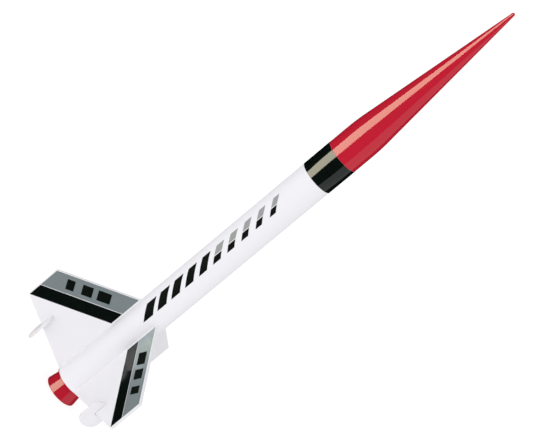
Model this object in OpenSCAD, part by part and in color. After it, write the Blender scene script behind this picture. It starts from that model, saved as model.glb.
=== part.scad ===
// A finned model rocket, standing on its tail.
// +Z is the flight axis, towards the nose. Z = 0 is the rear face of the tail ring.
// All sizes are in millimetres.

/* [Body tube] */
// Outside diameter of the paper body tube
tube_d = 24.8; // [22:0.1:34]
// Thickness of the paper wall
tube_wall = 0.35; // [0.3:0.05:0.6]
// Length of the body tube
tube_l = 241; // [200:1:400]
// Length of the black wrap under the nose
band_l = 22; // [10:1:40]
// Thickness of every self-stick decal
skin_t = 0.1; // [0.08:0.01:0.2]

/* [Nose cone] */
// Length of the nose in front of the tube
nose_l = 143; // [90:1:200]
// Straight length of the nose before its taper starts
nose_straight = 14.5; // [5:0.5:30]
// Radius of the long bend between the straight and the taper
nose_bend_r = 150; // [100:5:250]
// Radius of the rounded tip
nose_tip_r = 1.15; // [0.8:0.05:3]
// Thickness of the moulded nose wall
nose_wall = 1.2; // [0.8:0.1:2]
// Length of the shoulder that slides into the tube
shoulder_l = 19; // [12:1:30]
// Radial clearance of the shoulder in the tube
shoulder_gap = 0.08; // [0.03:0.01:0.15]
// Thickness of the plug that closes the shoulder
plug_t = 2; // [1:0.1:4]
// Radius of the hole in the plug's cord loop
loop_hole_r = 2; // [1.5:0.1:2.5]
// Radius of the cord loop's outer edge
loop_r = 4.2; // [3.8:0.1:5.5]

/* [Motor mount] */
// Inside diameter of the motor tube
motor_bore_d = 18.06; // [17.5:0.01:19]
// Thickness of the motor tube's wall
motor_wall = 0.32; // [0.25:0.01:0.5]
// Length of the motor tube
motor_tube_l = 64; // [55:1:80]
// How far the motor tube starts in front of the tail plane
motor_tube_z = 8; // [6:0.5:10]
// Length of the thrust ring
thrust_l = 5; // [3:0.5:8]
// Bore radius of the thrust ring
thrust_bore_r = 6.5; // [5:0.1:7]
// Length of each centring ring
centring_l = 6; // [3:0.5:8]
// Gap between a glued ring and the tube that it sits on or in
glue_gap = 0.05; // [0.02:0.01:0.08]
// How far the rear centring ring sits in front of the tail ring's shoulder
rear_centring_gap = 3; // [1:0.5:6]

/* [Motor hook] */
// Width of the spring-steel hook
hook_w = 3.2; // [2.5:0.1:4]
// Thickness of the hook's strip
hook_t = 0.55; // [0.4:0.05:0.7]
// Gap between the hook and the motor tube
hook_gap = 0.1; // [0.05:0.01:0.15]
// Length of the hook's free tail, from its tip to where it bends
hook_free_l = 32.8; // [28:0.1:38]
// How far the hook's rear tang reaches in past the motor tube's bore
hook_tang = 1.63; // [1.2:0.01:2.2]
// How far the hook's front tang reaches in past the motor tube's bore
front_tang = 2.1; // [1.5:0.1:2.4]
// Distance from the tail plane to the hook's tip
hook_z = 1.2; // [0.8:0.1:2]
// Radial room for the hook's travel in the rear centring ring
hook_room = 1.3; // [1.1:0.05:1.4]
// Side clearance of the hook in every slot
hook_side = 0.4; // [0.2:0.05:0.6]
// Length of the paper sleeve over the hook
sleeve_l = 12; // [8:1:20]
// Distance from the hook's bend to the sleeve
sleeve_gap = 6; // [2:0.5:10]
// Wall of the paper sleeve
sleeve_wall = 1.5; // [1.2:0.05:1.7]
// Direction of the hook and the launch lug, in degrees from +X
lug_angle = 120; // [110:1:130]

/* [Tail ring] */
// Length of the tail ring behind the body tube
ring_l = 11; // [9:0.5:16]
// Wall of the flare at its front end, over the motor tube
ring_wall = 1.3; // [0.6:0.1:1.5]
// How much wider the flare's radius is at its rear end
ring_flare = 1.5; // [0.8:0.1:2.5]
// Thickness of the flange against the body tube
flange_t = 0.8; // [0.5:0.1:1.5]
// Length of the shoulder inside the body tube
ring_shoulder_l = 6; // [4:0.5:8]
// Wall of the ring at its rear face
lip_wall = 2; // [1.2:0.1:2.5]
// Rounding of the two edges of the rear face
lip_r = 0.5; // [0.3:0.05:0.6]

/* [Fins] */
// Chord where a fin meets the body tube
fin_root_l = 75; // [60:1:90]
// Chord at the fin's tip
fin_tip_l = 26; // [20:1:32]
// Span of a fin from the body tube
fin_span = 51.2; // [40:0.2:65]
// How far the leading edge falls back from root to tip
fin_sweep = 28.7; // [20:0.1:36]
// Thickness of a fin
fin_t = 2.4; // [1.6:0.1:3.2]
// Radius of the glue fillets at the fin roots
fillet_r = 0.8; // [0.6:0.1:2.5]

/* [Fin plates] */
// Distance of a plate from the body tube
plate_out = 29.3; // [22:0.1:36]
// Width of a plate across its fin
plate_w = 15.6; // [12:0.1:20]
// Length of a plate along the rocket
plate_l = 22.5; // [17:0.5:26]
// Thickness of a plate
plate_t = 1.6; // [1:0.1:2.4]
// Length of the rounded rear end
plate_round = 6; // [4:0.5:8]
// Length of the rounded front ends
plate_nose = 7; // [4:0.5:8]
// How far a plate reaches behind the fin's trailing edge
plate_back = 11.6; // [9:0.1:14]
// Clearance of the fin in the plate's slot, each side
plate_gap = 0.05; // [0.02:0.01:0.1]

/* [Decals] */
// White margin between a decal and the fin's edge
edge_margin = 0.5; // [0.5:0.1:2.5]
// Width of the silver panel along the leading edge
panel_w = 15.3; // [10:0.1:16]
// Width of the black stripe behind the panel
stripe_w = 9.9; // [6:0.1:10]
// White line between panel and stripe
line_w = 0.5; // [0.3:0.1:1]
// Number of slanted bars on each fin panel
fin_bars = 3; // [1:1:4]
// Height of the bars on a fin panel
fin_bar_h = 8.2; // [4:0.1:9]
// Number of slanted bars along the body
body_bars = 10; // [4:1:12]
// Distance of the first body bar from the tube's rear end
bars_start = 70; // [50:1:90]
// Distance from the last bar's place to the black wrap
bars_end = 25; // [20:1:40]
// Height of the body bars round the tube
bar_h = 8.4; // [5:0.1:10]
// Direction of the body bars, in degrees from +X
bars_angle = 243; // [200:1:280]

/* [Launch lug] */
// Inside diameter of the launch lug
lug_bore_d = 4; // [3.5:0.1:6]
// Wall of the launch lug
lug_wall = 0.25; // [0.2:0.05:0.5]
// Length of the launch lug
lug_l = 51; // [20:1:60]
// Distance of the lug from the tube's rear end
lug_start = 89; // [80:1:110]

/* [Recovery bay] */
// Diameter of the rolled parachute
chute_d = 20.6; // [14:0.1:21]
// Length of the rolled parachute
chute_l = 62; // [40:1:80]
// Gap between the parachute and what it rests on
chute_gap = 0.3; // [0.1:0.1:1]
// Thickness of the folded paper cord anchor
anchor_t = 1; // [0.6:0.1:1.3]
// Length of the cord anchor
anchor_l = 28; // [15:1:40]
// Angle that the anchor covers inside the tube
anchor_sweep = 70; // [40:1:90]
// Gap between the anchor and the nose's cord loop
anchor_gap = 6; // [3:1:12]

/* [Hidden] */
$fn = 96;

cut = 1;                                  // how far a cutter runs past the face it cuts
tube_r = tube_d / 2;
bore_r = tube_r - tube_wall;
tube_z = ring_l;                          // rear end of the body tube
joint_z = tube_z + tube_l;                // where the nose meets the tube

motor_bore_r = motor_bore_d / 2;
motor_r = motor_bore_r + motor_wall;
motor_front_z = motor_tube_z + motor_tube_l;
on_motor_r = motor_r + glue_gap;          // bore of each piece glued on the motor tube
in_tube_r = bore_r - glue_gap;            // outside of each piece glued in the body tube

hook_in_r = motor_r + hook_gap;
hook_out_r = hook_in_r + hook_t;
hook_bend_z = hook_z + hook_free_l;       // the axis about which the free tail flexes
hook_split = 0.3;                         // gap between the fixed strip and the free tail
tang_gap = 0.05;                          // clearance of the front tang, each side
front_tang_z = motor_front_z + tang_gap;
thrust_z = front_tang_z + hook_t + tang_gap;
slot_w = hook_w + 2 * hook_side;

ring_shoulder_z = tube_z + ring_shoulder_l;
rear_centring_z = ring_shoulder_z + rear_centring_gap;
front_centring_z = thrust_z + thrust_l / 2 - centring_l;
sleeve_z = hook_bend_z + sleeve_gap;

plug_r = bore_r - shoulder_gap - nose_wall;
plug_z = joint_z - shoulder_l;
loop_t = 2;
loop_low_z = plug_z - loop_r;
anchor_z = loop_low_z - anchor_gap - anchor_l;
chute_z = thrust_z + thrust_l + chute_gap;

bar_pitch = (tube_l - bars_start - band_l - bars_end) / body_bars;

fin_root_z = tube_z;
fin_tip_r = tube_r + fin_span;
plate_r = tube_r + plate_out;

// Direction of fin i, in degrees from +X.
function fin_angle(i) = 60 + 120 * i;

// The face of fin 1 or 2 that looks at the body bars, and carries the decals.
function show_side(i) = i == 1 ? 1 : -1;

// Height of a fin's leading and trailing edge at radius x.
function span_share(x) = (x - tube_r) / fin_span;
function fin_le(x) = fin_root_z + fin_root_l - fin_sweep * span_share(x);
function fin_te(x) = fin_root_z + (fin_root_l - fin_sweep - fin_tip_l) * span_share(x);

// Taper angle of the nose, where its side just touches the bend and the rounded tip.
bend_x = nose_bend_r - tube_r;
bend_z = nose_l - nose_tip_r - nose_straight;
nose_taper = atan2(bend_z, bend_x) - acos((nose_bend_r - nose_tip_r) / norm([bend_x, bend_z]));

// Points of the nose's long bend, on a wall that lies inset inside the outer one.
function bend_points(inset, steps = 16) = [
    for (k = [0:steps])
        let (a = nose_taper * k / steps)
        [(nose_bend_r - inset) * cos(a) - bend_x, nose_straight + (nose_bend_r - inset) * sin(a)]
];

// Points of the rounded tip, from the tapered side to the axis.
function tip_points(steps = 10) = [
    for (k = [0:steps])
        let (a = nose_taper + (90 - nose_taper) * k / steps)
        [nose_tip_r * cos(a), nose_l - nose_tip_r + nose_tip_r * sin(a)]
];

// Point on the axis that a wall inset inside the taper runs to.
function inner_tip(inset) =
    let (p = bend_points(inset)[16])
    [0, p[1] + p[0] / tan(nose_taper)];

// Points on a round corner about [x, z], from angle from to angle to.
function arc_points(x, z, r, from, to, steps = 6) = [
    for (k = [0:steps])
        let (a = from + (to - from) * k / steps)
        [x + r * cos(a), z + r * sin(a)]
];

// Half of an ellipse with half width a and length b. It opens towards side.
function half_ellipse(a, b, z, side, steps = 20) = [
    for (k = [0:steps])
        let (t = 180 * k / steps)
        [side * a * cos(t), z - side * b * sin(t)]
];

// A round ring along Z.
module ring(outer_r, inner_r, z, length) {
    translate([0, 0, z]) difference() {
        cylinder(r = outer_r, h = length);
        translate([0, 0, -cut]) cylinder(r = inner_r, h = length + 2 * cut);
    }
}

// A flat shape in the Y-Z plane, pushed out along X from r0 to r1.
module radial_prism(points, r0, r1) {
    translate([r0, 0, 0]) rotate([90, 0, 90]) linear_extrude(r1 - r0) polygon(points);
}

// A flat shape in the X-Z plane with a thickness along Y.
module fin_sheet(points, thickness, y = 0) {
    translate([0, y, 0]) rotate([90, 0, 0]) linear_extrude(thickness, center = true) polygon(points);
}

// A block that cuts the hook's way through a ring, out to radius r.
module hook_slot(r, z, length) {
    rotate([0, 0, lug_angle]) translate([motor_bore_r, -slot_w / 2, z - cut])
        cube([r - motor_bore_r, slot_w, length + 2 * cut]);
}

// ---------- Body ----------

module body_tube() {
    color("#ecebf0") ring(tube_r, bore_r, tube_z, tube_l);
}

module band_wrap() {
    color("#0b1210") ring(tube_r + skin_t, tube_r, joint_z - band_l, band_l);
}

// Outline of body bar k between two heights round the tube. The bars get narrower towards the nose.
function bar_outline(k, low, high) =
    let (
        width = bar_pitch * (0.68 - 0.03 * k),
        lean = 1.1,
        z = tube_z + bars_start + k * bar_pitch,
        y0 = bar_h / 2 - low,
        y1 = bar_h / 2 - high
    )
    [
        [y0, z + lean * low], [y0, z + lean * low + width],
        [y1, z + lean * high + width], [y1, z + lean * high]
    ];

// The rear bars are dark all the way up. The front ones have a light upper part.
function bar_split(k) = k < body_bars / 2 ? bar_h : bar_h * 0.42;

module bar_skin(outlines) {
    rotate([0, 0, bars_angle]) intersection() {
        ring(tube_r + skin_t, tube_r, tube_z, tube_l);
        for (outline = outlines) radial_prism(outline, tube_r / 2, tube_r + cut);
    }
}

module body_bars_dark() {
    color("#101614") bar_skin([for (k = [0:body_bars - 1]) bar_outline(k, 0, bar_split(k))]);
}

module body_bars_light() {
    first = ceil(body_bars / 2);
    color("#8d9496")
        bar_skin([for (k = [first:body_bars - 1]) bar_outline(k, bar_split(k) + line_w, bar_h)]);
}

module launch_lug() {
    lug_r = lug_bore_d / 2 + lug_wall;
    color("#e9e8ec") rotate([0, 0, lug_angle]) translate([tube_r + lug_r, 0, 0])
        ring(lug_r, lug_bore_d / 2, tube_z + lug_start, lug_l);
}

// ---------- Nose ----------

module nose_cone() {
    shoulder_r = bore_r - shoulder_gap;
    color("#c31c30") translate([0, 0, joint_z]) difference() {
        rotate_extrude() polygon(concat(
            [[0, -shoulder_l], [shoulder_r, -shoulder_l], [shoulder_r, 0], [tube_r, 0]],
            bend_points(0),
            tip_points()
        ));
        rotate_extrude() polygon(concat(
            [[0, -shoulder_l - cut], [plug_r, -shoulder_l - cut], [plug_r, nose_wall]],
            [[tube_r - nose_wall, nose_wall]],
            bend_points(nose_wall),
            [inner_tip(nose_wall)]
        ));
    }
}

module nose_plug() {
    color("#b81a2c") union() {
        translate([0, 0, plug_z]) cylinder(r = plug_r, h = plug_t);
        intersection() {
            translate([0, 0, plug_z]) rotate([90, 0, 0]) difference() {
                cylinder(r = loop_r, h = loop_t, center = true);
                translate([0, -loop_hole_r / 4, 0])
                    cylinder(r = loop_hole_r, h = loop_t + 2 * cut, center = true);
            }
            translate([-loop_r, -loop_r, loop_low_z])
                cube([2 * loop_r, 2 * loop_r, loop_r + plug_t / 2]);
        }
    }
}

// ---------- Tail and motor mount ----------

module tail_ring() {
    front_r = on_motor_r + ring_wall;
    rear_r = front_r + ring_flare;
    flange_z = ring_l - flange_t;
    mouth_r = rear_r - lip_wall;
    color("#c31c30") difference() {
        rotate_extrude() polygon(concat(
            [[on_motor_r, ring_shoulder_z], [on_motor_r, motor_tube_z], [mouth_r, lip_r]],
            arc_points(mouth_r + lip_r, lip_r, lip_r, 180, 270),
            arc_points(rear_r - lip_r, lip_r, lip_r, 270, 360),
            [[front_r, flange_z], [tube_r, flange_z], [tube_r, ring_l]],
            [[in_tube_r, ring_l], [in_tube_r, ring_shoulder_z]]
        ));
        hook_slot(tube_r + cut, 0, ring_shoulder_z);
    }
}

module motor_tube() {
    color("#b98a5a") ring(motor_r, motor_bore_r, motor_tube_z, motor_tube_l);
}

module thrust_ring() {
    color("#a87f55") ring(motor_r, thrust_bore_r, thrust_z, thrust_l);
}

module front_centring_ring() {
    color("#c9ab83") difference() {
        ring(in_tube_r, on_motor_r, front_centring_z, centring_l);
        hook_slot(hook_out_r + glue_gap, front_centring_z, centring_l);
    }
}

module rear_centring_ring() {
    color("#c9ab83") difference() {
        ring(in_tube_r, on_motor_r, rear_centring_z, centring_l);
        hook_slot(hook_out_r + hook_room, rear_centring_z, centring_l);
    }
}

module hook_sleeve() {
    color("#d8c3a0") difference() {
        ring(on_motor_r + sleeve_wall, on_motor_r, sleeve_z, sleeve_l);
        hook_slot(hook_out_r + glue_gap, sleeve_z, sleeve_l);
    }
}

// A straight run of the hook's strip, from z0 to z1.
module strip(z0, z1, inner_r = hook_in_r) {
    translate([inner_r, -hook_w / 2, z0]) cube([hook_out_r - inner_r, hook_w, z1 - z0]);
}

module hook_strip() {
    color("#9a9ca0") rotate([0, 0, lug_angle]) union() {
        strip(hook_bend_z + hook_split / 2, front_tang_z + hook_t);
        strip(front_tang_z, front_tang_z + hook_t, motor_bore_r - front_tang);
    }
}

module hook_finger() {
    color("#9a9ca0") rotate([0, 0, lug_angle]) union() {
        strip(hook_z, hook_bend_z - hook_split / 2);
        strip(hook_z, hook_z + hook_t, motor_bore_r - hook_tang);
    }
}

// ---------- Recovery bay ----------

module cord_anchor() {
    color("#e3d6bd") rotate([0, 0, lug_angle + 180 - anchor_sweep / 2]) translate([0, 0, anchor_z])
        rotate_extrude(angle = anchor_sweep) translate([in_tube_r - anchor_t, 0])
            square([anchor_t, anchor_l]);
}

module parachute_pack() {
    bevel = 2;
    color("#e8572b") translate([0, 0, chute_z]) rotate_extrude() polygon([
        [0, 0], [chute_d / 2 - bevel, 0], [chute_d / 2, bevel],
        [chute_d / 2, chute_l - bevel], [chute_d / 2 - bevel, chute_l], [0, chute_l]
    ]);
}

// ---------- Fins ----------

module fin(i) {
    color("#ecebf0") rotate([0, 0, fin_angle(i)]) fin_sheet([
        [tube_r, fin_te(tube_r)], [fin_tip_r, fin_te(fin_tip_r)],
        [fin_tip_r, fin_le(fin_tip_r)], [tube_r, fin_le(tube_r)]
    ], fin_t);
}

module fin_1() { fin(1); }
module fin_2() { fin(2); }
module fin_3() { fin(3); }

// A rounded plate that straddles the fin's trailing edge, slotted from its front end.
module fin_plate(i) {
    rear_z = fin_te(plate_r) - plate_back;
    front_z = rear_z + plate_l;
    slot_z = fin_te(plate_r - plate_t / 2) - plate_gap;
    slot_y = fin_t / 2 + plate_gap;
    color("#ecebf0") rotate([0, 0, fin_angle(i)]) difference() {
        radial_prism(concat(
            half_ellipse(plate_w / 2, plate_round, rear_z + plate_round, 1),
            half_ellipse(plate_w / 2, plate_nose, front_z - plate_nose, -1)
        ), plate_r - plate_t / 2, plate_r + plate_t / 2);
        translate([plate_r - plate_t, -slot_y, slot_z]) cube([2 * plate_t, 2 * slot_y, plate_l]);
    }
}

module fin_plate_1() { fin_plate(1); }
module fin_plate_2() { fin_plate(2); }
module fin_plate_3() { fin_plate(3); }

// A decal between two distances behind the leading edge, on one face of fin i.
module fin_decal(i, from, to) {
    x0 = tube_r + fillet_r + skin_t;
    x1 = fin_tip_r - edge_margin;
    outline = [[x0, fin_le(x0) - from], [x1, fin_le(x1) - from], [x1, fin_le(x1) - to], [x0, fin_le(x0) - to]];
    rotate([0, 0, fin_angle(i)]) fin_sheet(outline, skin_t, show_side(i) * (fin_t + skin_t) / 2);
}

module fin_panel(i) {
    color("#69787a") fin_decal(i, edge_margin, panel_w);
}

module fin_panel_1() { fin_panel(1); }
module fin_panel_2() { fin_panel(2); }

module fin_stripe(i) {
    color("#0b1210") fin_decal(i, panel_w + line_w, panel_w + line_w + stripe_w);
}

module fin_stripe_1() { fin_stripe(1); }
module fin_stripe_2() { fin_stripe(2); }

// Slanted bars on the silver panels, wider towards the root.
module fin_bar_set(i) {
    first_x = tube_r + fin_span * 0.22;
    bar_step = fin_span * 0.215;
    lean = 0.45 * fin_bar_h;
    middle = (edge_margin + panel_w) / 2;
    y = show_side(i) * (fin_t / 2 + 1.5 * skin_t);
    color("#101614") rotate([0, 0, fin_angle(i)]) for (k = [0:fin_bars - 1]) {
        x0 = first_x + k * bar_step;
        x1 = x0 + bar_step * (0.72 - 0.14 * k);
        fin_sheet([
            [x0, fin_le(x0) - middle - fin_bar_h / 2], [x1, fin_le(x1) - middle - fin_bar_h / 2],
            [x1 + lean, fin_le(x1 + lean) - middle + fin_bar_h / 2],
            [x0 + lean, fin_le(x0 + lean) - middle + fin_bar_h / 2]
        ], skin_t, y);
    }
}

module fin_bars_1() { fin_bar_set(1); }
module fin_bars_2() { fin_bar_set(2); }

// One bead of glue along a root: what is left between the tube, the fin and a round scoop.
module glue_bead() {
    y = fin_t / 2;
    scoop_y = y + fillet_r;
    scoop_x = sqrt(pow(tube_r + fillet_r, 2) - pow(scoop_y, 2));
    touch = tube_r / (tube_r + fillet_r);
    translate([0, 0, fin_root_z + fin_t / 2]) linear_extrude(fin_root_l - 1.5 * fin_t) difference() {
        polygon([
            [tube_r - fin_t, y], [scoop_x, y], [scoop_x, scoop_y], [scoop_x * touch, scoop_y * touch]
        ]);
        circle(r = tube_r, $fn = 720);
        translate([scoop_x, scoop_y]) circle(r = fillet_r, $fn = 360);
    }
}

module glue_fillets() {
    color("#e6e5ea") for (i = [1:3], side = [0, 1])
        rotate([0, 0, fin_angle(i)]) mirror([0, side, 0]) glue_bead();
}

body_tube();
band_wrap();
body_bars_dark();
body_bars_light();
nose_cone();
nose_plug();
tail_ring();
motor_tube();
thrust_ring();
front_centring_ring();
rear_centring_ring();
hook_strip();
hook_finger();
hook_sleeve();
launch_lug();
cord_anchor();
parachute_pack();
fin_1();
fin_2();
fin_3();
fin_plate_1();
fin_plate_2();
fin_plate_3();
fin_panel_1();
fin_panel_2();
fin_stripe_1();
fin_stripe_2();
fin_bars_1();
fin_bars_2();
glue_fillets();
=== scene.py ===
"""A finned model rocket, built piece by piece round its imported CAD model.

Every length is in metres, in the CAD model's frame: +Z is the flight axis, towards the nose.
"""
import math

import bmesh
import bpy
from mathutils import Matrix, Vector


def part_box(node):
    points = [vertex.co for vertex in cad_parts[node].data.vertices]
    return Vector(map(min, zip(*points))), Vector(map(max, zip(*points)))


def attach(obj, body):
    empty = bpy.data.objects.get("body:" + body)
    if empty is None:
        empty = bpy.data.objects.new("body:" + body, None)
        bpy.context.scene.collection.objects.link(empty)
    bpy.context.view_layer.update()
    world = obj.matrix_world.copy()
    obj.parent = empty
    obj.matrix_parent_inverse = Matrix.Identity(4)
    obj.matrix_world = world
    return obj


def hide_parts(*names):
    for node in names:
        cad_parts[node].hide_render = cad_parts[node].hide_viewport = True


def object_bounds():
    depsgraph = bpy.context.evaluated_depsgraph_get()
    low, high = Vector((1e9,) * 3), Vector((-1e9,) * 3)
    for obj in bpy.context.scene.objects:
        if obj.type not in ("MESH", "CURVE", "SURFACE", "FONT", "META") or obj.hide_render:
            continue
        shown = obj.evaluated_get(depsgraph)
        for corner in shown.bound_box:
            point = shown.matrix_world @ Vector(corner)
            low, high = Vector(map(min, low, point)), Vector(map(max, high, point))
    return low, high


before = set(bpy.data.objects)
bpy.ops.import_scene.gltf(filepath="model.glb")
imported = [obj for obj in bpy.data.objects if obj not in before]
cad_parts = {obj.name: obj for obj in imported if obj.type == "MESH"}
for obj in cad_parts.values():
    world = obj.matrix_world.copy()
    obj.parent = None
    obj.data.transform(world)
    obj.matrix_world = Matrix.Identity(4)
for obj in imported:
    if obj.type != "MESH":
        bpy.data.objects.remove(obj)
CAD_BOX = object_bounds()

bl_info = {
    "name": "Model Rocket",
    "version": (1, 0, 0),
    "blender": (4, 5, 0),
    "location": "3D Viewport > Sidebar > Rocket",
    "description": "Builds a finned model rocket with its motor mount and recovery parts",
    "category": "Object",
}

MM = 0.001

# Places and sizes that the CAD model settles.
TUBE_LOW, TUBE_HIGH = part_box("body_tube")
TUBE_R = TUBE_HIGH.x
JOINT_Z = TUBE_HIGH.z
SHOULDER_LOW, NOSE_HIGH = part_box("nose_cone")
MOTOR_LOW, MOTOR_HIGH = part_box("motor_tube")
LUG_LOW, LUG_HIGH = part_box("launch_lug")
# The motor hook lies in line with the launch lug.
HOOK_ANGLE = math.atan2(LUG_LOW.y + LUG_HIGH.y, LUG_LOW.x + LUG_HIGH.x)
FIN_LOW, FIN_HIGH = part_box("fin_1")
FIN_HALF = (FIN_HIGH.y - FIN_LOW.y) / 2
FIN_TIP_R = -FIN_LOW.x
FIN_COUNT = 3
FIN_STEP = 360 / FIN_COUNT

# The kind of node that does sums.
MATH = "ShaderNodeMath"


def fin_turn(number):
    """The turn about Z that takes a fin drawn along +X to its place."""
    return Matrix.Rotation(math.radians(FIN_STEP / 2 + FIN_STEP * number), 4, "Z")


def fin_line(radius, upper):
    """Height of a fin's leading (upper) or trailing edge at a distance from the axis."""
    points = [v.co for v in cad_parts["fin_1"].data.vertices]
    middle = -(min(p.x for p in points) + max(p.x for p in points)) / 2
    root = [p.z for p in points if -p.x < middle]
    tip = [p.z for p in points if -p.x > middle]
    root_z, tip_z = (max(root), max(tip)) if upper else (min(root), min(tip))
    tip_r = -min(p.x for p in points)
    return root_z + (tip_z - root_z) * (radius - TUBE_R) / (tip_r - TUBE_R)


def linear(hex_colour):
    """Turns an sRGB hex colour into the linear red, green and blue that a shader reads."""
    channels = [int(hex_colour[k:k + 2], 16) / 255 for k in (1, 3, 5)]
    return tuple(c / 12.92 if c <= 0.04045 else ((c + 0.055) / 1.055) ** 2.4 for c in channels)


# ---------- Settings ----------


def length(name, description, millimetres):
    """A length setting, in metres, with its default in millimetres."""
    return bpy.props.FloatProperty(
        name=name, description=description, default=millimetres * MM,
        min=0.0, unit="LENGTH", subtype="DISTANCE", precision=5,
    )


def colour(name, description, hex_colour):
    """A colour setting."""
    return bpy.props.FloatVectorProperty(
        name=name, description=description, default=linear(hex_colour),
        size=3, min=0.0, max=1.0, subtype="COLOR",
    )


class RocketSizes(bpy.types.PropertyGroup):
    """Sizes that the CAD model's boxes don't give."""

    tube_wall: length("Tube Wall", "Thickness of the paper body tube", 0.35)
    skin: length("Decal Thickness", "Thickness of every self-stick decal", 0.1)
    nose_straight: length("Nose Straight", "Straight length before the taper", 14.5)
    nose_bend: length("Nose Bend", "Radius of the long bend into the taper", 150)
    nose_tip: length("Nose Tip", "Radius of the rounded tip", 1.15)
    nose_wall: length("Nose Wall", "Thickness of the moulded wall", 1.2)
    shoulder_gap: length("Shoulder Gap", "Radial clearance of the shoulder in the tube", 0.08)
    plug: length("Plug", "Thickness of the plug in the shoulder", 2)
    loop: length("Cord Loop", "Outer radius of the plug's cord loop", 4.2)
    loop_hole: length("Cord Loop Hole", "Radius of the hole in the cord loop", 2)
    motor_wall: length("Motor Tube Wall", "Thickness of the motor tube", 0.32)
    thrust_bore: length("Thrust Ring Bore", "Bore radius of the thrust ring", 6.5)
    glue_gap: length("Glue Gap", "Gap between glued rings and tubes", 0.05)
    hook_thick: length("Hook Thickness", "Thickness of the spring strip", 0.55)
    hook_gap: length("Hook Gap", "Gap between the hook and the motor tube", 0.1)
    hook_width: length("Hook Width", "Width of the spring strip", 3.2)
    hook_side: length("Hook Side Gap", "Clearance beside the hook in each slot", 0.4)
    hook_room: length("Hook Room", "Radial room for the hook's travel", 1.3)
    ring_wall: length("Ring Wall", "Wall of the tail ring's flare at its front end", 1.3)
    ring_flare: length("Ring Flare", "How much the flare widens to its rear end", 1.5)
    ring_flange: length("Ring Flange", "Thickness of the flange against the body tube", 0.8)
    ring_lip: length("Ring Lip", "Wall of the tail ring at its rear face", 2)
    fin_edge: length("Fin Edge", "Rounding of a fin's edges", 0.45)
    fin_corner: length("Fin Corner", "Rounding of a fin's outer corners", 1.7)
    fillet: length("Glue Fillet", "Radius of the glue fillets at the fin roots", 0.8)
    plate_rear: length("Plate Rear End", "Length of a plate's rounded rear end", 6)
    plate_front: length("Plate Front End", "Length of a plate's rounded front end", 7)
    plate_gap: length("Plate Gap", "Clearance of the fin in a plate's slot", 0.05)
    panel: length("Panel", "Width of the silver panel on a fin", 15.3)
    margin: length("Margin", "White margin in front of the silver panel", 0.5)
    bar_height: length("Body Bar Height", "Height of the body bars round the tube", 8.4)
    fin_bar_height: length("Fin Bar Height", "Height of the bars on a fin panel", 8.2)
    white_line: length("White Line", "White line between the dark and light bars", 0.5)
    chute_edge: length("Parachute Edge", "How far the roll's outer turns draw in", 2)
    body_bars: bpy.props.IntProperty(
        name="Body Bars", description="Number of slanted bars along the body", default=10, min=2)
    fin_bars: bpy.props.IntProperty(
        name="Fin Bars", description="Number of slanted bars on a fin panel", default=3, min=1)
    bars_angle: bpy.props.FloatProperty(
        name="Bars Angle", description="Direction of the body bars, from +X towards +Y",
        default=math.radians(243), unit="ROTATION", subtype="ANGLE")
    segments: bpy.props.IntProperty(
        name="Segments", description="Number of flats round a turned piece", default=192, min=24)


class RocketColours(bpy.types.PropertyGroup):
    """Colours of the finishes."""

    red: colour("Red", "Moulded styrene of the nose and the tail ring", "#C52135")
    white: colour("White", "Paint on the tube, fins and plates", "#EDECF1")
    black: colour("Black", "Black vinyl", "#080E0C")
    silver: colour("Silver", "Silver vinyl", "#A8B4B8")
    ink: colour("Silver Ink", "Silver ink of the body bars", "#9DA09E")
    balsa: colour("Balsa", "Bare balsa under the paint", "#D9C3B2")
    kraft: colour("Kraft", "Brown paper of the motor tube", "#B58A5E")
    card: colour("Card", "Fibre card of the rings", "#C6A878")
    steel: colour("Steel", "Spring steel of the hook", "#B9BBBE")
    film: colour("Film", "Parachute film", "#E8572B")


# ---------- Nodes ----------


def add(tree, kind, inputs=None, **settings):
    """Adds a node. Inputs are values or the sockets to link from, by the input's name or number."""
    node = tree.nodes.new(kind)
    for name, value in settings.items():
        setattr(node, name, value)
    for key, value in (inputs or {}).items():
        if isinstance(value, bpy.types.NodeSocket):
            tree.links.new(value, node.inputs[key])
        else:
            node.inputs[key].default_value = value
    return node


def shape_tree(name, **inputs):
    """A new Geometry Nodes tree with named inputs, and its input node."""
    tree = bpy.data.node_groups.new(name, "GeometryNodeTree")
    for label, kind in {"Geometry": "Geometry", **inputs, "Material": "Material"}.items():
        tree.interface.new_socket(
            label.replace("_", " "), in_out="INPUT", socket_type="NodeSocket" + kind)
    tree.interface.new_socket("Geometry", in_out="OUTPUT", socket_type="NodeSocketGeometry")
    return tree, tree.nodes.new("NodeGroupInput")


def close_tree(tree, given, geometry):
    """Ends a tree: real geometry with its material."""
    real = add(tree, "GeometryNodeRealizeInstances", {"Geometry": geometry})
    made = add(tree, "GeometryNodeSetMaterial",
               {"Geometry": real.outputs[0], "Material": given.outputs["Material"]})
    add(tree, "NodeGroupOutput", {"Geometry": made.outputs[0]})
    return tree


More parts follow.
